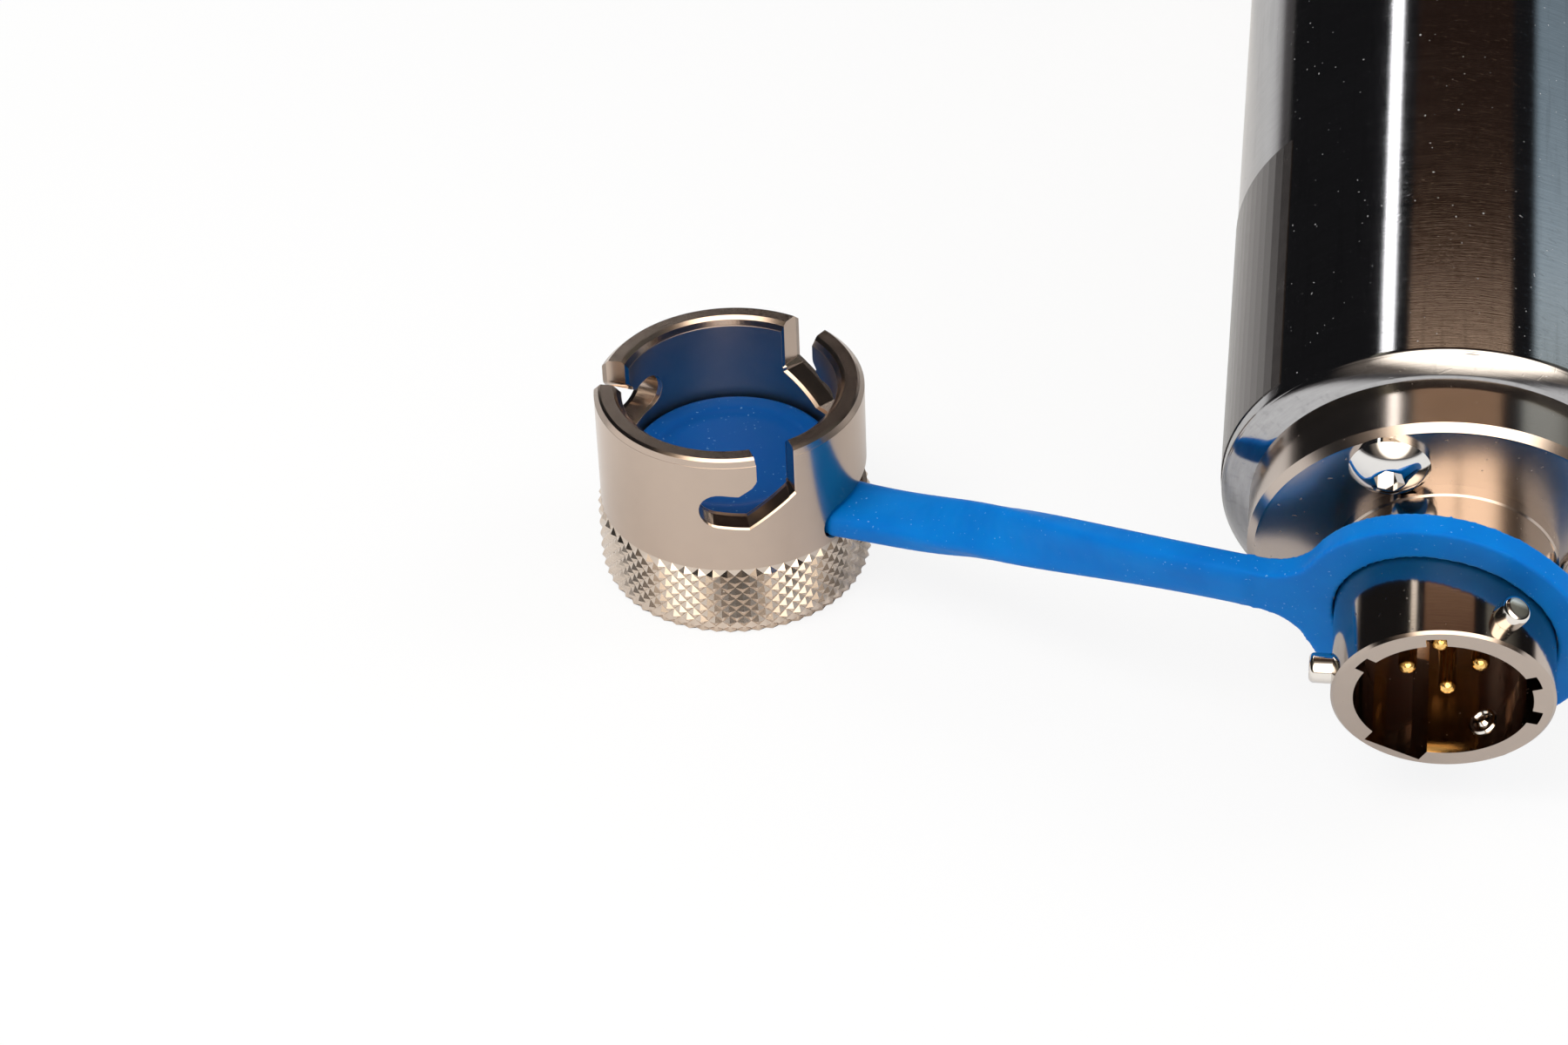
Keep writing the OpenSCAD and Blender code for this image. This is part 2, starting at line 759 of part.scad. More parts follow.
module bayonet_slot(angle) {
    half = slot_w / 2;
    middle = slot_turn / 2;
    rest = [wall_x(-middle), cap_h - dwell_depth];
    bend = [wall_x(ramp_turn - middle), cap_h - ramp_depth];
    mouth = [wall_x(middle), cap_h - entry_depth];
    slope = atan2(mouth[1] - bend[1], mouth[0] - bend[0]);
    inner_turn = asin(half / bore_r);
    ramp_end = bore_r * sin(middle + inner_turn) - 0.05;
    through_wall(angle - middle) polygon(slot_outline(rest, bend, ramp_end, slope));
    floor_at = mouth[1] - half / cos(slope);
    lip_at = mouth[1] + half / cos(slope) - half * tan(slope);
    through_wall(angle) polygon([
        [half, cap_h + 1],
        [-half, cap_h + 1],
        [-half, lip_at + slot_lip],
        [-half - slot_lip * 0.14, lip_at + slot_lip * 0.45],
        [-half - slot_lip * 0.45, lip_at],
        [-half - slot_lip, lip_at - slot_lip * 0.75],
        [half * 0.3, floor_at + 0.1 + half * 0.3 * tan(slope)],
        [half * 0.5, floor_at + half * 0.5 * tan(slope)],
        [half, floor_at + half * tan(slope)]]);
}

module cap_shell() {
    grip_r = cap_r + knurl_out;
    color([0.76, 0.71, 0.67]) translate([cap_x, cap_y, bench]) difference() {
        rotate_extrude() polygon([
            [0, 0],
            [grip_r - 0.6, 0],
            [grip_r - 0.18, 0.2],
            [grip_r, 0.6],
            [grip_r, grip_h - 0.15],
            [cap_r, grip_h],
            [cap_r, cap_h - rim_chamfer],
            [cap_r - rim_chamfer, cap_h],
            [bore_r + bore_chamfer, cap_h],
            [bore_r, cap_h - bore_chamfer],
            [bore_r, grip_h],
            [0, grip_h]]);
        for (a = slot_angles) bayonet_slot(a);
        rotate([0, 0, window_from]) rotate_extrude(angle = window_to - window_from)
            translate([bore_r - 1, grip_h + window_sill]) square([cap_r - bore_r + 3, window_h]);
        for (a = [window_from, window_to]) through_wall(a)
            translate([0, grip_h + window_sill + window_h / 2])
                circle(d = window_h - 0.1, $fn = 48);
    }
}

head_tube();
film_label();
connector_flange();
flange_seal();
flange_screws();
receptacle_shell();
receptacle_nut();
bayonet_lugs();
contact_insert();
contact_pins();
lead_wires();
terminal_board();
signal_wires();
shaft();
shaft_seal_ring();
sleeve_seal_ring();
electrode_body();
glass_rod();
cathode();
anode();
thermistor();
slide_ring();
union_nut();
membrane_body();
membrane();
membrane_seal_ring();
cap_sleeve();
tether();
cap_shell();
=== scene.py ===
import json
from math import atan2, cos, pi, radians, sin

import bmesh
import bpy
from mathutils import Matrix, Vector
from mathutils.kdtree import KDTree


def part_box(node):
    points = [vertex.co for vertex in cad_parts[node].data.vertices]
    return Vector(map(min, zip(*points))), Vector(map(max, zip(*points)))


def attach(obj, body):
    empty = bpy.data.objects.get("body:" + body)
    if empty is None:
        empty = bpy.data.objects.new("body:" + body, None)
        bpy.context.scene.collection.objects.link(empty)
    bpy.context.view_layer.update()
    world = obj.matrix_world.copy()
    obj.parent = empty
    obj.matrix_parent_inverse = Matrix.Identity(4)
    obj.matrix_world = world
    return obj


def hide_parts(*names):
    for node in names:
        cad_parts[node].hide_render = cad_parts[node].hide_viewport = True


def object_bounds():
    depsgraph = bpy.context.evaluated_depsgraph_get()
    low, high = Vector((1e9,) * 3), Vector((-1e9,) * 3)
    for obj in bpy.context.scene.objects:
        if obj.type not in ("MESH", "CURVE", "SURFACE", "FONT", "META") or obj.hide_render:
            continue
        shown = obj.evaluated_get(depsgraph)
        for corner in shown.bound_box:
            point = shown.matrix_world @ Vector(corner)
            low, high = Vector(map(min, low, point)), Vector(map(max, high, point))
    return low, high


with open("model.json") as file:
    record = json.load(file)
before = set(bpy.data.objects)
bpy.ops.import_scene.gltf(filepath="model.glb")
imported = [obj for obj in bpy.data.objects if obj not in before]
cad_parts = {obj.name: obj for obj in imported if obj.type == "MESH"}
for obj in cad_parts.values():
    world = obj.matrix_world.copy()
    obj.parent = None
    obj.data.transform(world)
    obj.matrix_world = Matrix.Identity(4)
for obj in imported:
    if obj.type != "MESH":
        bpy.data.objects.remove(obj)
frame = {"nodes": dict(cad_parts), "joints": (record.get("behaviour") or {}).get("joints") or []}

MM = 0.001
cad_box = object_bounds()
nodes = frame["nodes"]
joints = {j["name"]: j for j in frame["joints"]}

# Camera: a long lens close to the bench, above and in front of the connector, so that the
# cap stands left of the middle and the probe leaves the view at the top right.
camera = bpy.data.objects.new("camera", bpy.data.cameras.new("camera"))
bpy.context.collection.objects.link(camera)
camera.data.lens = 100
camera.data.sensor_width = 36
camera.data.clip_start = 0.01
camera_right = Vector((0.99202, 0.12168, -0.03310))
camera_up = Vector((-0.04860, 0.61117, 0.79001))
camera_back = Vector((0.11636, -0.78209, 0.61220))
camera.matrix_world = Matrix((camera_right, camera_up, camera_back)).transposed().to_4x4()
camera.location = (-0.008325, -0.180595, 0.151251)
bpy.context.scene.camera = camera
bpy.context.scene.view_settings.view_transform = "Standard"


class Wire:
    """An output socket, so that shader maths reads as a Python expression."""

    def __init__(self, finish, socket):
        self.finish, self.socket = finish, socket

    def maths(self, operation, *values):
        return self.finish.add("ShaderNodeMath", {"operation": operation}, values)

    def __add__(self, other):
        return self.maths("ADD", self, other)

    def __sub__(self, other):
        return self.maths("SUBTRACT", self, other)

    def __rsub__(self, other):
        return self.maths("SUBTRACT", other, self)

    def __mul__(self, other):
        return self.maths("MULTIPLY", self, other)

    __radd__, __rmul__ = __add__, __mul__

    def smooth(self, low, high):
        """Goes smoothly from 0 to 1 while this wire goes from low to high."""
        return self.finish.add("ShaderNodeMapRange", {"interpolation_type": "SMOOTHSTEP"},
                               {0: self, 1: low, 2: high})

    def within(self, start, full, fade, end):
        """Rises from 0 to 1 between the first two values and falls between the last two."""
        return self.smooth(start, full) * self.smooth(end, fade)

    def clamped(self, low, high):
        return self.finish.add("ShaderNodeClamp", None, (self, low, high))


class Finish:
    """A material, or the world, made of nodes."""

    def __init__(self, owner):
        owner.use_nodes = True
        self.owner, self.tree = owner, owner.node_tree
        self.tree.nodes.clear()

    def node(self, kind, settings=None, inputs=()):
        made = self.tree.nodes.new(kind)
        for key, value in (settings or {}).items():
            if key == "stops":
                ramp = made.color_ramp
                while len(ramp.elements) < len(value):
                    ramp.elements.new(0.5)
                for stop, (place, shade) in zip(ramp.elements, value):
                    stop.position, stop.color = place, (*shade, 1)
            else:
                setattr(made, key, value)
        pairs = inputs.items() if isinstance(inputs, dict) else enumerate(inputs)
        for key, value in pairs:
            if isinstance(value, Wire):
                self.tree.links.new(value.socket, made.inputs[key])
            else:
                made.inputs[key].default_value = value
        return made

    def add(self, kind, settings=None, inputs=(), output=0):
        return Wire(self, self.node(kind, settings, inputs).outputs[output])

    def mix(self, amount, first, second):
        return self.add("ShaderNodeMix", {"data_type": "RGBA"}, {0: amount, 6: first, 7: second}, 2)

    def ramp(self, value, stops):
        return self.add("ShaderNodeValToRGB", {"stops": stops}, (value,))

    def ray(self, kind):
        """1 for a ray of this kind and 0 for any other."""
        return self.add("ShaderNodeLightPath", output=kind)

    def scaled(self, vector, amount):
        return self.add("ShaderNodeVectorMath", {"operation": "SCALE"},
                        {0: vector, "Scale": amount})

    def measured(self, operation, *vectors):
        """Vector maths that gives a number: LENGTH, DISTANCE or DOT_PRODUCT."""
        return self.add("ShaderNodeVectorMath", {"operation": operation}, vectors, 1)

    def place(self):
        """The place on the object, in millimetres."""
        return self.scaled(self.add("ShaderNodeTexCoord", output="Object"), 1 / MM)

    def stretched(self, place, scale, turn=(0, 0, 0)):
        """The place turned and then multiplied, so that a pattern on it runs one way."""
        turned = self.add("ShaderNodeMapping", {"vector_type": "POINT"},
                          {0: place, "Rotation": turn})
        return self.add("ShaderNodeVectorMath", {"operation": "MULTIPLY"}, (turned, scale))

    def noise(self, place, scale, detail, rough=0.5):
        return self.add("ShaderNodeTexNoise", None,
                        {"Vector": place, "Scale": scale, "Detail": detail, "Roughness": rough})

    def bump(self, height, strength, depth):
        return self.add("ShaderNodeBump", None,
                        {"Height": height, "Strength": strength, "Distance": depth})


class Surface(Finish):
    """A material with one plain shader, whose sockets take numbers or wires."""

    def __init__(self, name):
        super().__init__(bpy.data.materials.new(name))

    def finish(self, **sockets):
        inputs = {key.replace("_", " "): value for key, value in sockets.items()}
        shader = self.node("ShaderNodeBsdfPrincipled", None, inputs)
        out = self.node("ShaderNodeOutputMaterial")
        self.tree.links.new(shader.outputs[0], out.inputs[0])
        return self.owner


def wear(node, material):
    """Gives a CAD node its material."""
    nodes[node].data.materials.clear()
    nodes[node].data.materials.append(material)


# Floor: a plain pale bench top under the cap and the probe. Anyone who looks at it sees it
# white, with a faint shadow; its colour is painted darker further away, as painted shade.
pale = Surface("bench_white")
seen = pale.ray("Is Camera Ray") + pale.ray("Is Transmission Ray")
white = pale.node("ShaderNodeEmission", None, {"Color": (1, 1, 1, 1), "Strength": 1.0})
# Painted shade: between these distances the bench's matt colour darkens towards dark grey
near_edge, far_edge = 90, 420  # millimetres from the connector
fade = pale.measured("LENGTH", pale.place()).smooth(near_edge, far_edge)
matt = pale.node("ShaderNodeBsdfDiffuse", None, {
    "Color": pale.mix(fade, (0.86, 0.85, 0.84, 1), (0.16, 0.15, 0.15, 1))})
white_share = 0.86  # the rest is matt and shows the shadow
both = pale.node("ShaderNodeMixShader", None, {0: seen * white_share})
pale.tree.links.new(matt.outputs[0], both.inputs[1])
pale.tree.links.new(white.outputs[0], both.inputs[2])
pale.tree.links.new(both.outputs[0], pale.node("ShaderNodeOutputMaterial").inputs[0])
bench, half_side, under_cad = bmesh.new(), 3, 0.02 * MM
bmesh.ops.create_grid(bench, x_segments=1, y_segments=1, size=half_side)
bmesh.ops.translate(bench, verts=bench.verts, vec=(0, 0, cad_box[0].z - under_cad))
floor = bpy.data.objects.new("floor", bpy.data.meshes.new("floor"))
bench.to_mesh(floor.data)
bench.free()
bpy.context.collection.objects.link(floor)
floor.data.materials.append(pale.owner)


# World: a white background that lights everything evenly. Metal sees a dim room in it instead:
# a narrow white lamp, a warm one and a cool one, all parallel to the probe, and a warm ring lamp
# round the camera's lens.
probe_axis = Vector(joints["nut_slide"]["axis"])
probe_tilt = atan2(probe_axis.z, probe_axis.y)
room = Finish(bpy.data.worlds.new("room"))
bpy.context.scene.world = room.owner
shown = room.ray("Is Camera Ray") + room.ray("Is Transmission Ray")
towards = room.add("ShaderNodeTexCoord", output="Generated")
along_room = room.add("ShaderNodeVectorRotate", {"rotation_type": "X_AXIS"},
                      {"Vector": towards, "Angle": -probe_tilt})
split = room.node("ShaderNodeSeparateXYZ", None, (along_room,))
side, ahead, above = (Wire(room, socket) for socket in split.outputs)
height = room.add("ShaderNodeSeparateXYZ", None, (towards,), 2)
# Degrees round the probe, from above towards +X
turn = room.add("ShaderNodeMath", {"operation": "ARCTAN2"}, (side, above)) * (180 / pi)
# From 0 to 1 as a ray turns from along the probe to square to it
most_ahead, ahead_range = 0.75, 0.6
steepness = (most_ahead - ahead) * (1 / ahead_range)
overhead = room.ramp(steepness, [
    (0.0, (0.022, 0.013, 0.010)), (0.083, (0.030, 0.016, 0.011)), (0.140, (0.030, 0.015, 0.011)),
    (0.158, (0.24, 0.10, 0.05)), (0.169, (1.25, 0.90, 0.63)), (0.205, (0.60, 0.42, 0.27)),
    (0.228, (0.14, 0.055, 0.030)), (0.27, (0.05, 0.026, 0.018)), (0.9, (0.05, 0.04, 0.035)),
    (1.0, (0.22, 0.18, 0.15))])
cool = room.ramp(steepness, [
    (0.0, (0.26, 0.34, 0.40)), (0.083, (0.32, 0.41, 0.47)), (0.133, (0.50, 0.62, 0.70)),
    (0.155, (0.85, 0.98, 1.05)), (0.175, (0.50, 0.54, 0.50)), (0.23, (0.16, 0.16, 0.14)),
    (1.0, (0.10, 0.10, 0.10))])
glow = room.ramp(steepness, [
    (0.0, (1, 1, 1)), (0.16, (1, 1, 1)), (0.24, (0.14, 0.13, 0.10)), (1.0, (0.05, 0.05, 0.04))])
strip_power = 4.5
dark = (0.014, 0.014, 0.015, 1)
# The warm, the white and the cool lamp, each between its own edges
lit = room.mix(turn.within(-25, -22, 26, 29), dark, overhead)
lit = room.mix(turn.within(-38.5, -37, -32.5, -31), lit, room.scaled(glow, strip_power))
lit = room.mix(turn.within(38, 43, 58, 84), lit, cool)
# The ring lamp, with a haze round it and the lens in its middle
to_lens = room.measured("DOT_PRODUCT", towards, camera_back)
lit = room.mix(to_lens.smooth(0.52, 0.80) * 0.9, lit, (0.30, 0.25, 0.21, 1))
lit = room.mix(to_lens.within(0.74, 0.91, 0.9975, 0.9990), lit, (4.2, 3.7, 3.1, 1))
# Warm grey below the horizon, and one even grey for every ray that isn't mirrored
lit = room.mix(height.smooth(0.03, -0.06), lit, (0.42, 0.39, 0.37, 1))
plain = room.mix(room.ray("Is Glossy Ray"), (0.62, 0.62, 0.62, 1), lit)
sky = room.node("ShaderNodeBackground", None, {"Color": room.mix(shown, plain, (1, 1, 1, 1))})
room.tree.links.new(sky.outputs[0], room.node("ShaderNodeOutputWorld").inputs[0])


# Lamps: two soft panels, which metal doesn't see, shape the plastic and the bench. They point
# at the connector.
def panel(name, place, power, size, colour):
    lamp = bpy.data.objects.new(name, bpy.data.lights.new(name, "AREA"))
    bpy.context.collection.objects.link(lamp)
    lamp.data.energy, lamp.data.size, lamp.data.color = power, size, colour
    lamp.location = place
    lamp.rotation_euler = (-Vector(place)).to_track_quat("-Z", "Y").to_euler()
    lamp.visible_glossy = False


panel("key_lamp", (-0.25, -0.20, 0.55), 2.2, 0.35, (1.0, 0.98, 0.95))
panel("fill_lamp", (0.45, 0.15, 0.40), 1.1, 0.30, (0.93, 0.97, 1.0))


# Head tube: a stainless tube, turned and then brushed while it spun, so that fine rings run
# round it. Handling has left a few short scratches and specks of dust. The screw holes in its
# front wall lie under the flange and are left out.
def merged_copy(node):
    """A copy of a CAD node's mesh whose triangles share their corners."""
    work = bmesh.new()
    work.from_mesh(nodes[node].data)
    bmesh.ops.remove_doubles(work, verts=work.verts, dist=0.002 * MM)
    return work


def add_piece(work, name, body, material, angle=None):
    """Makes an object of the mesh. Faces that meet at more than the angle keep their corner."""
    bmesh.ops.recalc_face_normals(work, faces=work.faces)
    made = bpy.data.objects.new(name, bpy.data.meshes.new(name))
    work.to_mesh(made.data)
    work.free()
    bpy.context.collection.objects.link(made)
    made.data.materials.append(material)
    if angle is None:
        made.data.shade_smooth()
    else:
        bpy.context.view_layer.objects.active = made
        made.select_set(True)
        bpy.ops.object.shade_smooth_by_angle(angle=radians(angle))
        made.select_set(False)
    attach(made, body)
    return made


class Lathe:
    """The axis that a part was turned about."""

    on_axis = 1e-6  # nearer than this to the axis, a direction from it means nothing

    def __init__(self, axis, centre):
        self.axis, self.centre = axis, centre

    def out(self, point):
        """From the axis to the point, square to the axis."""
        away = point - self.centre
        return away - self.axis * away.dot(self.axis)

    def turned(self, centre, normal):
        """Whether a face there was turned rather than milled."""
        out = self.out(centre)
        if out.length < self.on_axis:
            return False
        slack = 0.09  # the sine of about five degrees
        return abs(normal.dot(self.axis.cross(out.normalized()))) < slack

    def refine(self, work):
        """Halves arcs longer than three degrees, up to three times. Each new point lies as far
        out as its neighbours."""
        longest_arc, nearly_flat = radians(3), 0.9995
        for _ in range(3):
            work.normal_update()
            round_faces = {f for f in work.faces if abs(f.normal.dot(self.axis)) < nearly_flat
                           and self.turned(f.calc_center_median(), f.normal)}
            arcs, goals = [], []
            for e in work.edges:
                a, b = (v.co for v in e.verts)
                out_a, out_b, middle = self.out(a), self.out(b), (a + b) / 2
                out = self.out(middle)
                if min(out_a.length, out_b.length, out.length) < self.on_axis:
                    continue
                if out_a.angle(out_b) > longest_arc and round_faces.intersection(e.link_faces):
                    arcs.append(e)
                    reach = (out_a.length + out_b.length) / 2 - out.length
                    goals.append((middle.copy(), middle + out.normalized() * reach))
            if not arcs:
                break
            tree = KDTree(len(goals))
            for i, (middle, _goal) in enumerate(goals):
                tree.insert(middle, i)
            tree.balance()
            made = bmesh.ops.subdivide_edges(work, edges=arcs, cuts=1)
            for v in made["geom_inner"]:
                if isinstance(v, bmesh.types.BMVert):
                    v.co = goals[tree.find(v.co)[1]][1]
            bmesh.ops.triangulate(work, faces=work.faces)

    def shade(self, mesh, soft=20):
        """Turned faces shade round the axis; faces that meet at less than soft degrees blend.
        Corners at the same place on the profile blend alike all the way round."""
        around = [[] for _ in mesh.vertices]
        for face in mesh.polygons:
            centre_out = self.out(face.center)
            rise = face.normal.dot(self.axis)
            sense = 0
            if self.turned(face.center, face.normal):
                sense = 1 if face.normal.dot(centre_out) > 0 else -1
            points = [mesh.vertices[i].co for i in face.vertices]
            for n, i in enumerate(face.vertices):
                normal, out, key = face.normal.copy(), self.out(points[n]), None
                if sense and out.length > self.on_axis:
                    spread = max(0.0, 1 - rise * rise) ** 0.5
                    normal = self.axis * rise + out.normalized() * sense * spread
                    place = (points[n] - self.centre).dot(self.axis)
                    key = (round(out.length / MM, 1), round(place / MM, 1), round(rise, 1), sense)
                one, two = points[n - 1] - points[n], points[(n + 1) % len(points)] - points[n]
                too_short = min(one.length, two.length) < 1e-9
                corner = 0.0 if too_short else one.angle(two)
                around[i].append((normal, face.area * corner, face.loop_indices[n], key, out))
        normals, rings = [None] * len(mesh.loops), {}
        for corners in around:
            for normal, _weight, loop, key, _out in corners:
                total = sum((other[0] * other[1] for other in corners
                             if normal.dot(other[0]) > cos(radians(soft))), Vector())
                normals[loop] = total.normalized() if total.length > 0 else normal
                if key:
                    rings.setdefault(key, []).append(normals[loop].dot(self.axis))
        for corners in around:
            for _normal, _weight, loop, key, out in corners:
                if key:
                    rise = sum(rings[key]) / len(rings[key])
                    spread = max(0.0, 1 - rise * rise) ** 0.5
                    normals[loop] = self.axis * rise + out.normalized() * key[3] * spread
        mesh.normals_split_custom_set(normals)


def turned_piece(node, name, body, material, lathe, soft=20, change=None):
    """A finer copy of a turned CAD part, so that polished metal reflects without facets."""
    work = merged_copy(node)
    lathe.refine(work)
    if change:
        change(work)
    made = add_piece(work, name, body, material)
    lathe.shade(made.data, soft)
    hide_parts(node)


def spin(work, profile, centre, axis, steps=64):
    """Turns a profile of radii and places along the axis, both in millimetres."""
    side = axis.orthogonal().normalized()
    points = [work.verts.new(centre + (side * r + axis * h) * MM) for r, h in profile]
    edges = [work.edges.new(pair) for pair in zip(points, points[1:])]
    bmesh.ops.spin(work, geom=points + edges, cent=centre, axis=axis, angle=2 * pi, steps=steps)
    bmesh.ops.remove_doubles(work, verts=work.verts, dist=0.003 * MM)


def on_probe(angle, radius, along):
    """The place at an angle round the probe, from its upper side towards +X, in millimetres."""
    a = radians(angle)
    up = Vector((0, -probe_axis.z, probe_axis.y))
    return (Vector((sin(a), 0, 0)) * radius + up * cos(a) * radius + probe_axis * along) * MM


probe_lathe = Lathe(probe_axis, Vector((0, 0, 0)))


def from_probe_axis(finish, place):
    """How far the place is from the probe's axis, in millimetres."""
    foot = finish.scaled(probe_axis, finish.measured("DOT_PRODUCT", place, probe_axis))
    return finish.measured("DISTANCE", place, foot)


def ringed(finish, place):
    """The place for marks that run round the probe."""
    return finish.stretched(place, (0.05, 1, 0.05), (-probe_tilt, 0, 0))


def brushed(name, colour, rough, ring_depth, soil=0.0, crown=None):
    """Turned steel whose marks, of that depth in metres, run round the probe. A crown makes an
    end face fall away between two radii in millimetres, at the slope that follows them."""
    s = Surface(name)
    at = s.place()
    rings = ringed(s, at)
    fine = s.noise(rings, 11, 4, 0.7)
    broad = s.noise(rings, 0.9, 2)
    lengthwise = s.noise(s.stretched(at, (2.2, 0.12, 2.2), (-probe_tilt, 0, 0)), 1.0, 2)
    scratch = s.noise(s.stretched(at, (1.2, 5, 1.2), (0.5, 0.4, 0.2)), 1.6, 1).smooth(0.70, 0.74)
    speck = s.noise(at, 4.2, 1).smooth(0.76, 0.80)
    shade = fine * 0.50 + broad * 0.08 + 0.70 - lengthwise.smooth(0.55, 0.7) * soil
    base = s.mix(speck * 0.5, s.scaled(colour, shade), (0.8, 0.8, 0.8, 1))
    relief = (fine + scratch * -0.6 + speck * 0.8) * (ring_depth / MM)
    if crown:
        inner_r, outer_r, slope = crown
        relief = relief - from_probe_axis(s, at).clamped(inner_r, outer_r) * slope
    return s.finish(Base_Color=base, Metallic=1.0 - speck * 0.6,
                    Roughness=fine * 0.06 + broad * 0.04 + lengthwise * 0.03 + rough,
                    Normal=s.bump(relief, 1.0, MM))


# The front edge is one curve, from the end face past the corner to the wall
face, corner, wall = (10.95, 13.3), (12.5, 13.743), (12.5, 14.1)
curve_steps = 12
edge = []
for i in range(curve_steps + 1):
    u = i / curve_steps
    edge.append(tuple((1 - u) ** 2 * a + 2 * u * (1 - u) * b + u ** 2 * c
                      for a, b, c in zip(face, corner, wall)))
outside = [(12.5, 14.2), (12.5, 83.0), (12.2, 83.3)]
bore = [(8.5, 83.3), (8.5, 19.3), (6.65, 19.3), (6.65, 13.3)]
tube = bmesh.new()
spin(tube, edge + outside + bore + edge[:1], Vector((0, 0, 0)), probe_axis, steps=192)
shell = add_piece(tube, "tube_shell", "probe",
                  brushed("brushed_tube", (0.42, 0.42, 0.43), 0.015, 1.4e-6, soil=0.10,
                          crown=(10.9, 12.4, 0.27)), angle=25)
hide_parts("head_tube")


# Film label: a clear polyester film, stuck on the side of the tube and left bare. It dulls the
# steel under it a little, and its cut edge catches the light.
film = Surface("label_film")
haze = film.noise(film.place(), 1.4, 3)
wear("film_label", film.finish(
    Base_Color=film.ramp(haze, [(0.3, (0.066, 0.058, 0.056)), (0.7, (0.084, 0.074, 0.071))]),
    Metallic=0.75, Roughness=haze * 0.1 + 0.20, Coat_Weight=0.25, Coat_Roughness=0.06,
    Normal=film.bump(haze, 0.3, 4e-6)))


# Connector: brass turned parts under satin nickel. The round flange is screwed to the tube's
# end, and the receptacle sits in it, held from inside by a nut.
def mottled(finish, place, colour, mottle):
    """A faintly uneven plate: its slow pattern, its grain and its colour."""
    cloud = finish.noise(place, 1.1, 4, 0.6)
    grain = finish.noise(place, 26, 2)
    shade = cloud * mottle + grain * mottle + (1 - mottle)
    return cloud, grain, finish.scaled(colour, shade)


def nickelled(name, colour, rough, mottle=0.06, mark_depth=0.8e-6, dull_within=None):
    """Nickel plate over turning marks of that depth in metres. It may be duller within some
    radius of the probe's axis, in millimetres."""
    s = Surface(name)
    at = s.place()
    cloud, grain, base = mottled(s, at, colour, mottle)
    marks = s.noise(ringed(s, at), 9, 3, 0.6)
    pit = s.noise(at, 3.4, 1).smooth(0.75, 0.78)
    if dull_within:
        dull = from_probe_axis(s, at).smooth(dull_within + 0.1, dull_within - 0.1)
        rough = dull * 0.08 + rough
    return s.finish(Base_Color=base, Metallic=1.0,
                    Roughness=grain * 0.04 + cloud * 0.03 + pit * 0.2 + rough,
                    Normal=s.bump(marks + grain * 0.4 - pit, 0.7, mark_depth))


turned_piece("connector_flange", "flange_disc", "probe",
             nickelled("flange_nickel", (0.52, 0.45, 0.40), 0.13, dull_within=10.4), probe_lathe)
turned_piece("receptacle_shell", "barrel", "probe",
             nickelled("receptacle_nickel", (0.46, 0.39, 0.34), 0.07), probe_lathe, soft=35)
wear("receptacle_nut", nickelled("nut_nickel", (0.66, 0.58, 0.51), 0.16))

# Lugs and screws: three short pins with rounded heads, pressed through the barrel's wall, and
# three polished button head screws with a hexagon socket, which hold the flange.
pins = bmesh.new()
lug_r, lug_top, lug_along, bend_r, bend_steps = 0.825, 7.20, 1.75, 0.30, 6
inner_end = [(0, 4.45), (0.22, 4.50), (0.36, 4.64), (0.44, 4.80), (0.60, 4.62), (0.74, 4.62)]
bend = [(lug_r - bend_r + bend_r * cos(a), lug_top - bend_r + bend_r * sin(a))
        for a in (pi / 2 * i / bend_steps for i in range(bend_steps + 1))]
for angle in (30, 150, 270):
    spin(pins, inner_end + [(lug_r, 4.75)] + bend + [(0, lug_top)],
         probe_axis * lug_along * MM, on_probe(angle, 1, 0).normalized(), steps=40)
lugs = add_piece(pins, "lug_pins", "probe",
                 nickelled("lug_nickel", (0.80, 0.76, 0.71), 0.06), angle=32)
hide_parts("bayonet_lugs")

screws = bmesh.new()
circle_r, seat = 8.4, 9.9
shank_r, shank_l, head_r, head_rim = 1.2, 7, 2.2, 0.3
dome_r, dome_rise, dome_from, dome_over, dome_steps = 2.83, 1.35, 51, 32.5, 12
socket_r, socket_depth = 0.866, 0.65
shank = [(0, -shank_l), (shank_r, -shank_l), (shank_r, 0), (head_r, 0), (head_r, head_rim)]
arc = [radians(dome_from - dome_over * i / dome_steps) for i in range(dome_steps + 1)]
dome = [(dome_r * sin(a), dome_rise - dome_r + dome_r * cos(a)) for a in arc]
for angle in (-24, 96, 216):
    spin(screws, shank + dome, on_probe(angle, circle_r, seat), -probe_axis)
    top = on_probe(angle, circle_r, seat - dome_rise + dome_r - dome_r * cos(arc[-1]))
    across = probe_axis.orthogonal().normalized() * socket_r * MM
    key = [screws.verts.new(top + Matrix.Rotation(pi / 3 * i, 3, probe_axis) @ across)
           for i in range(6)]
    mouth = [e for e in screws.edges if e.is_boundary]
    hexagon = [screws.edges.new((key[i - 1], key[i])) for i in range(6)]
    bmesh.ops.bridge_loops(screws, edges=mouth + hexagon)
    sunk = bmesh.ops.extrude_edge_only(screws, edges=hexagon)["geom"]
    bmesh.ops.translate(screws, vec=probe_axis * socket_depth * MM,
                        verts=[v for v in sunk if isinstance(v, bmesh.types.BMVert)])
    bmesh.ops.holes_fill(screws, edges=[e for e in screws.edges if e.is_boundary], sides=6)
heads = add_piece(screws, "button_screws", "probe",
                  nickelled("screw_steel", (0.74, 0.73, 0.72), 0.03, 0.04, 0.3e-6), angle=25)
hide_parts("flange_screws")


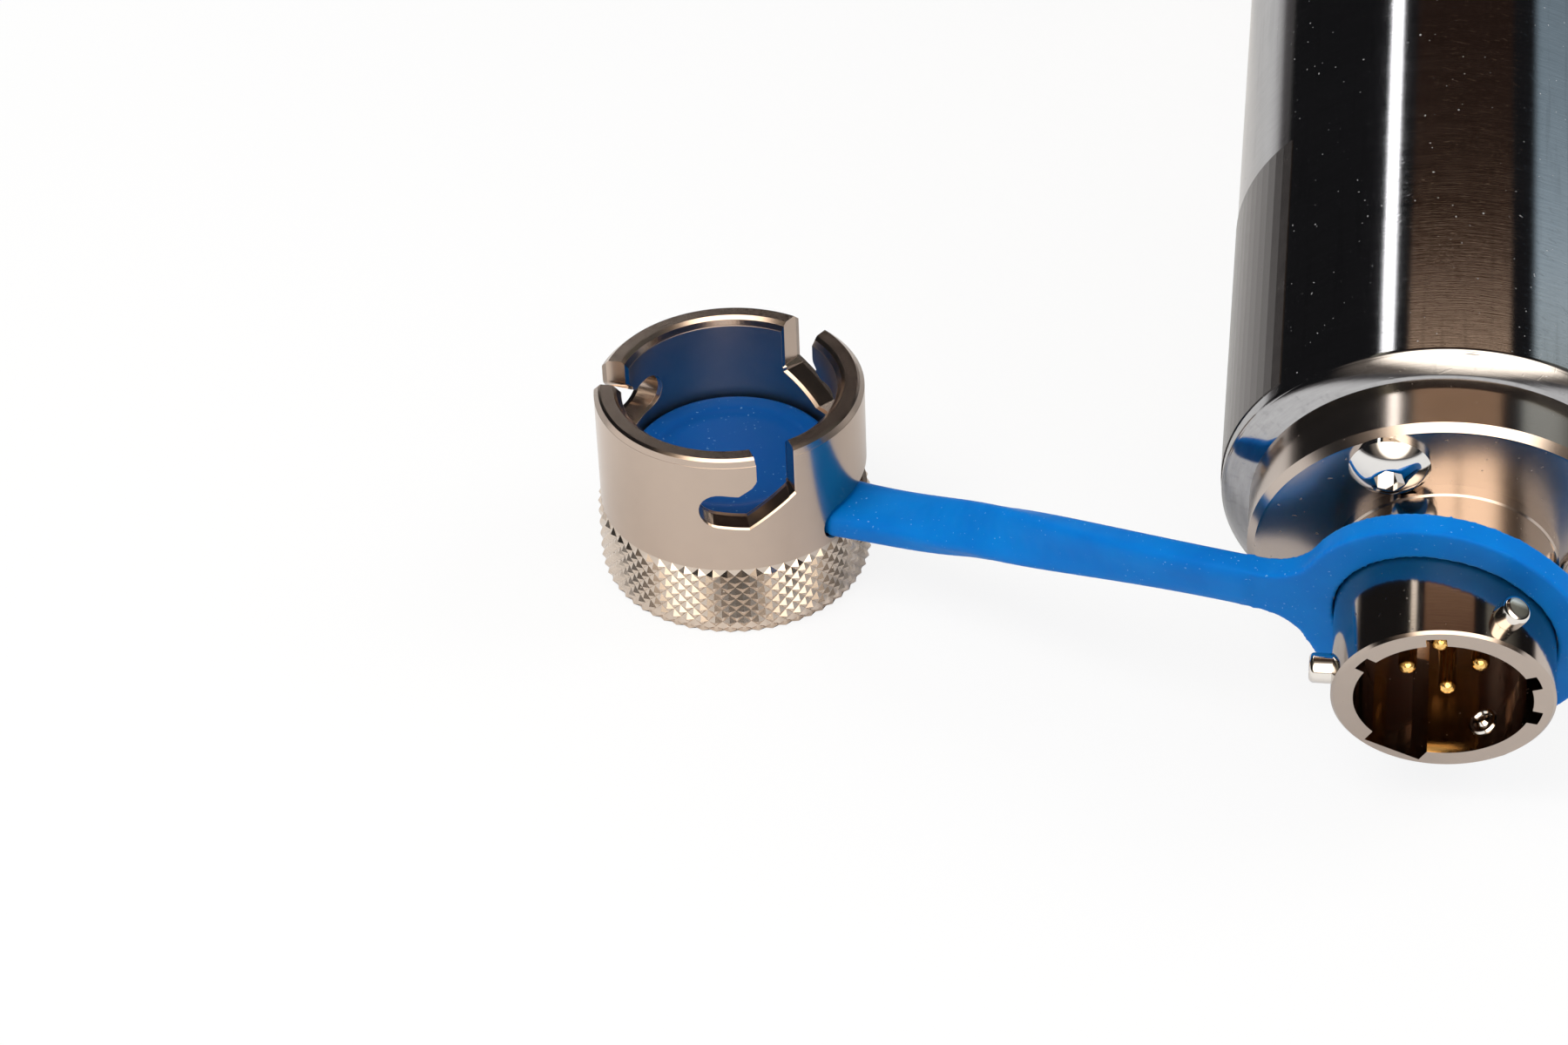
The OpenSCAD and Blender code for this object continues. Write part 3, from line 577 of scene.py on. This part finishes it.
# Insert and contacts: a dark brown moulded insulator, deep in the barrel, that holds four gold
# plated pins. The pins' tips shine where light reaches down the barrel.
def moulded(name, colour, rough, streak=0.15):
    """Moulded or turned plastic with a faint flow pattern and a fine grain."""
    s = Surface(name)
    at = s.place()
    flow = s.noise(s.stretched(at, (1, 0.3, 1)), 0.9, 3)
    grain = s.noise(at, 18, 2)
    base = s.scaled(colour, flow * streak + grain * 0.08 + (0.94 - streak / 2))
    return s.finish(Base_Color=base, Roughness=flow * 0.1 + grain * 0.08 + rough,
                    Normal=s.bump(grain + flow * 0.5, 0.5, 4e-6))


wear("contact_insert", moulded("insert_brown", (0.042, 0.009, 0.004), 0.24))
gold = Surface("contact_gold")
lengthways = gold.stretched(gold.place(), (1, 0.2, 1), (-probe_tilt, 0, 0))
rub = gold.noise(lengthways, 8, 3)
wear("contact_pins", gold.finish(
    Base_Color=gold.ramp(rub, [(0.35, (0.80, 0.46, 0.12)), (0.65, (1.0, 0.68, 0.26))]),
    Metallic=1.0, Roughness=rub * 0.14 + 0.08, Normal=gold.bump(rub, 0.4, 1e-6)))

# Wiring and seals: they fill and close the head from inside. The wires have plastic sleeves, the
# board is green laminate, and the seals are black nitrile rings.
wear("lead_wires", moulded("wire_red", (0.42, 0.02, 0.015), 0.35))
wear("signal_wires", moulded("wire_blue", (0.02, 0.06, 0.30), 0.35))
board = Surface("board_green")
weave = board.noise(board.stretched(board.place(), (8, 8, 1)), 1.0, 2)
wear("terminal_board", board.finish(
    Base_Color=board.ramp(weave, [(0.4, (0.010, 0.085, 0.030)), (0.6, (0.018, 0.12, 0.045))]),
    Roughness=weave * 0.15 + 0.25, Coat_Weight=0.4, Normal=board.bump(weave, 0.4, 6e-6)))
for ring in ("flange_seal", "shaft_seal_ring", "sleeve_seal_ring", "membrane_seal_ring"):
    wear(ring, moulded(ring + "_nitrile", (0.012, 0.012, 0.013), 0.42, 0.3))

# Shaft, sleeve and union nut: turned stainless steel, less finely brushed than the head. The
# slide ring between nut and collar is white plastic.
turned_piece("shaft", "shaft_turned", "probe",
             brushed("turned_shaft", (0.60, 0.60, 0.61), 0.12, 1.8e-6), probe_lathe)
turned_piece("cap_sleeve", "sleeve_turned", "sleeve",
             brushed("turned_sleeve", (0.62, 0.62, 0.63), 0.10, 1.5e-6), probe_lathe)
turned_piece("union_nut", "nut_turned", "nut",
             brushed("turned_nut", (0.58, 0.58, 0.59), 0.16, 2.5e-6), probe_lathe)
wear("slide_ring", moulded("ring_white", (0.78, 0.77, 0.73), 0.45, 0.06))

# Sensing end: a tan electrode body that carries a glass rod with a platinum cathode, a silver
# anode round it and a black thermistor, all behind a grey membrane on a white plastic body.
wear("electrode_body", moulded("electrode_tan", (0.50, 0.36, 0.20), 0.40, 0.10))
wear("membrane_body", moulded("membrane_white", (0.76, 0.76, 0.74), 0.38, 0.06))
wear("membrane", moulded("membrane_grey", (0.23, 0.24, 0.25), 0.30, 0.12))
wear("thermistor", moulded("bead_black", (0.012, 0.012, 0.014), 0.20))
wear("cathode", nickelled("cathode_platinum", (0.70, 0.68, 0.65), 0.12))
wear("anode", nickelled("anode_silver", (0.86, 0.85, 0.83), 0.20))
rod = Surface("rod_glass")
ripple = rod.noise(rod.place(), 2.0, 2)
wear("glass_rod", rod.finish(
    Base_Color=(0.85, 0.93, 0.92, 1), Transmission_Weight=0.9, IOR=1.47,
    Roughness=ripple * 0.05 + 0.02, Normal=rod.bump(ripple, 0.2, 4e-6)))


# Tether: ring, strap and disc moulded in one from blue silicone. Its edges are soft, it lets
# some light through, and dust clings to it. Deep in the cap the blue is painted darker, as painted
# shade.
cap_centre = Vector(joints["cap_turn"]["pos_m"])


def from_cap_axis(finish, place):
    """How far the place is from the cap's axis, which is upright, in millimetres."""
    flat = finish.add("ShaderNodeVectorMath", {"operation": "MULTIPLY"}, (place, (1, 1, 0)))
    return finish.measured("DISTANCE", flat, (cap_centre.x / MM, cap_centre.y / MM, 0))


silicone = Surface("silicone_blue")
at = silicone.place()
tint = silicone.noise(at, 0.35, 3)
# Painted shade: this mask marks the cap's bore, where the blue is painted darker because less light
# reaches in
inside = from_cap_axis(silicone, at).smooth(6.6, 6.1)
dusty = silicone.noise(at, 0.5, 2).smooth(0.35, 0.6)
dust = silicone.noise(at, 5.5, 1).smooth(0.72, 0.76) * dusty
skin = silicone.noise(at, 9, 3)
blue = silicone.ramp(tint, [(0.3, (0.000, 0.155, 0.540)), (0.7, (0.000, 0.190, 0.610))])
# Painted shade: the blue mixed towards a darker blue within the cap's bore
blue_with_painted_shade = silicone.mix(inside, blue, (0.001, 0.075, 0.300, 1))
silicone_blue = silicone.finish(
    Base_Color=silicone.mix(dust * 0.5, blue_with_painted_shade, (0.30, 0.60, 0.85, 1)),
    Roughness=skin * 0.12 + dust * 0.2 + 0.34, Subsurface_Weight=0.3,
    Subsurface_Radius=(0.2, 0.5, 1.6), Subsurface_Scale=0.0006, Specular_IOR_Level=0.12,
    Normal=silicone.bump(skin + dust * 2, 0.4, 6e-6))
strap = add_piece(merged_copy("tether"), "silicone_tether", "tether",
                  silicone_blue)
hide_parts("tether")
remesh = strap.modifiers.new("even_skin", "REMESH")
remesh.mode, remesh.voxel_size, remesh.use_smooth_shade = "VOXEL", 0.13 * MM, True
soften = strap.modifiers.new("soft_edges", "SMOOTH")
soften.factor, soften.iterations = 0.5, 6


# Cap: turned from brass and nickelled, with a thin rim, three bayonet slots, a window for the
# strap and a knurled grip. Its sharp edges are broken inside and outside the wall, and the
# knurl's points are cut above a plain core.
def edge_broken(name, colour, rough, mottle):
    """Nickel plate whose height falls off close to the inner and the outer face of the wall."""
    s = Surface(name)
    at = s.place()
    r = from_cap_axis(s, at)
    bore_r, bore_edge_r, wall_edge_r, wall_r = 6.26, 6.52, 7.60, 7.84
    outer = r.clamped(wall_edge_r, wall_r) - wall_edge_r
    inner = bore_edge_r - r.clamped(bore_r, bore_edge_r)
    cloud, grain, base = mottled(s, at, colour, mottle)
    pit = s.noise(at, 6.0, 1).smooth(0.72, 0.76)
    marks = s.noise(s.stretched(at, (0.05, 0.05, 1)), 9, 3, 0.6) + grain * 0.4 - pit
    mark_depth = 0.0008  # millimetres, as the radii are
    bore_dull = r.smooth(6.35, 6.2) * 0.2
    return s.finish(Base_Color=base, Metallic=1.0,
                    Roughness=grain * 0.08 + cloud * 0.05 + bore_dull + rough,
                    Normal=s.bump(marks * mark_depth - outer - inner, 1.0, MM))


cap_lathe = Lathe(Vector((0, 0, 1)), cap_centre)
low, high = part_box("cap_shell")
grip_r, grip_h = (high.x - low.x) / 2, 4.7 * MM
cap_wall_r, under_knurl = 7.85 * MM, 0.12 * MM


def clear_grip(work):
    """Takes the CAD's plain grip below the wall, to leave room for the knurl."""
    for v in work.verts:
        out = cap_lathe.out(v.co)
        if out.length > cap_wall_r + 0.005 * MM and v.co.z < low.z + grip_h:
            v.co -= out * (1 - (cap_wall_r - under_knurl) / out.length)


turned_piece("cap_shell", "cap_body", "cap",
             edge_broken("cap_nickel", (0.52, 0.42, 0.35), 0.12, 0.08), cap_lathe,
             soft=25, change=clear_grip)

rows, columns, knurl_depth = 11, 118, 0.185 * MM
foot_drop, foot_part, knurl_back_r, inset = 0.28 * MM, 0.2, 7.62 * MM, 0.02 * MM
grip = bmesh.new()
bmesh.ops.create_grid(grip, x_segments=columns, y_segments=rows, size=0.5)
for v in grip.verts:
    column, row = round((v.co.x + 0.5) * columns), round((v.co.y + 0.5) * rows)
    up = row / rows
    rounding = foot_drop * max(0, 1 - up / foot_part) ** 2
    r = grip_r - rounding - (knurl_depth if (row + column) % 2 else 0)
    if row == rows:
        r = cap_wall_r - inset
    turn_to = 2 * pi * column / columns
    v.co = (cap_centre.x + r * cos(turn_to), cap_centre.y + r * sin(turn_to),
            low.z + inset + up * (grip_h - 2 * inset))
bmesh.ops.remove_doubles(grip, verts=grip.verts, dist=0.01 * MM)
bmesh.ops.triangulate(grip, faces=grip.faces, quad_method="SHORT_EDGE")
open_edges = [e for e in grip.edges if e.is_boundary]
back = bmesh.ops.extrude_edge_only(grip, edges=open_edges)["geom"]
for v in back:
    if isinstance(v, bmesh.types.BMVert):
        out = cap_lathe.out(v.co)
        v.co -= out * (1 - knurl_back_r / out.length)
bmesh.ops.bridge_loops(grip, edges=[e for e in grip.edges if e.is_boundary])
add_piece(grip, "cap_knurl", "cap",
          nickelled("knurl_nickel", (0.66, 0.57, 0.49), 0.10), angle=1)
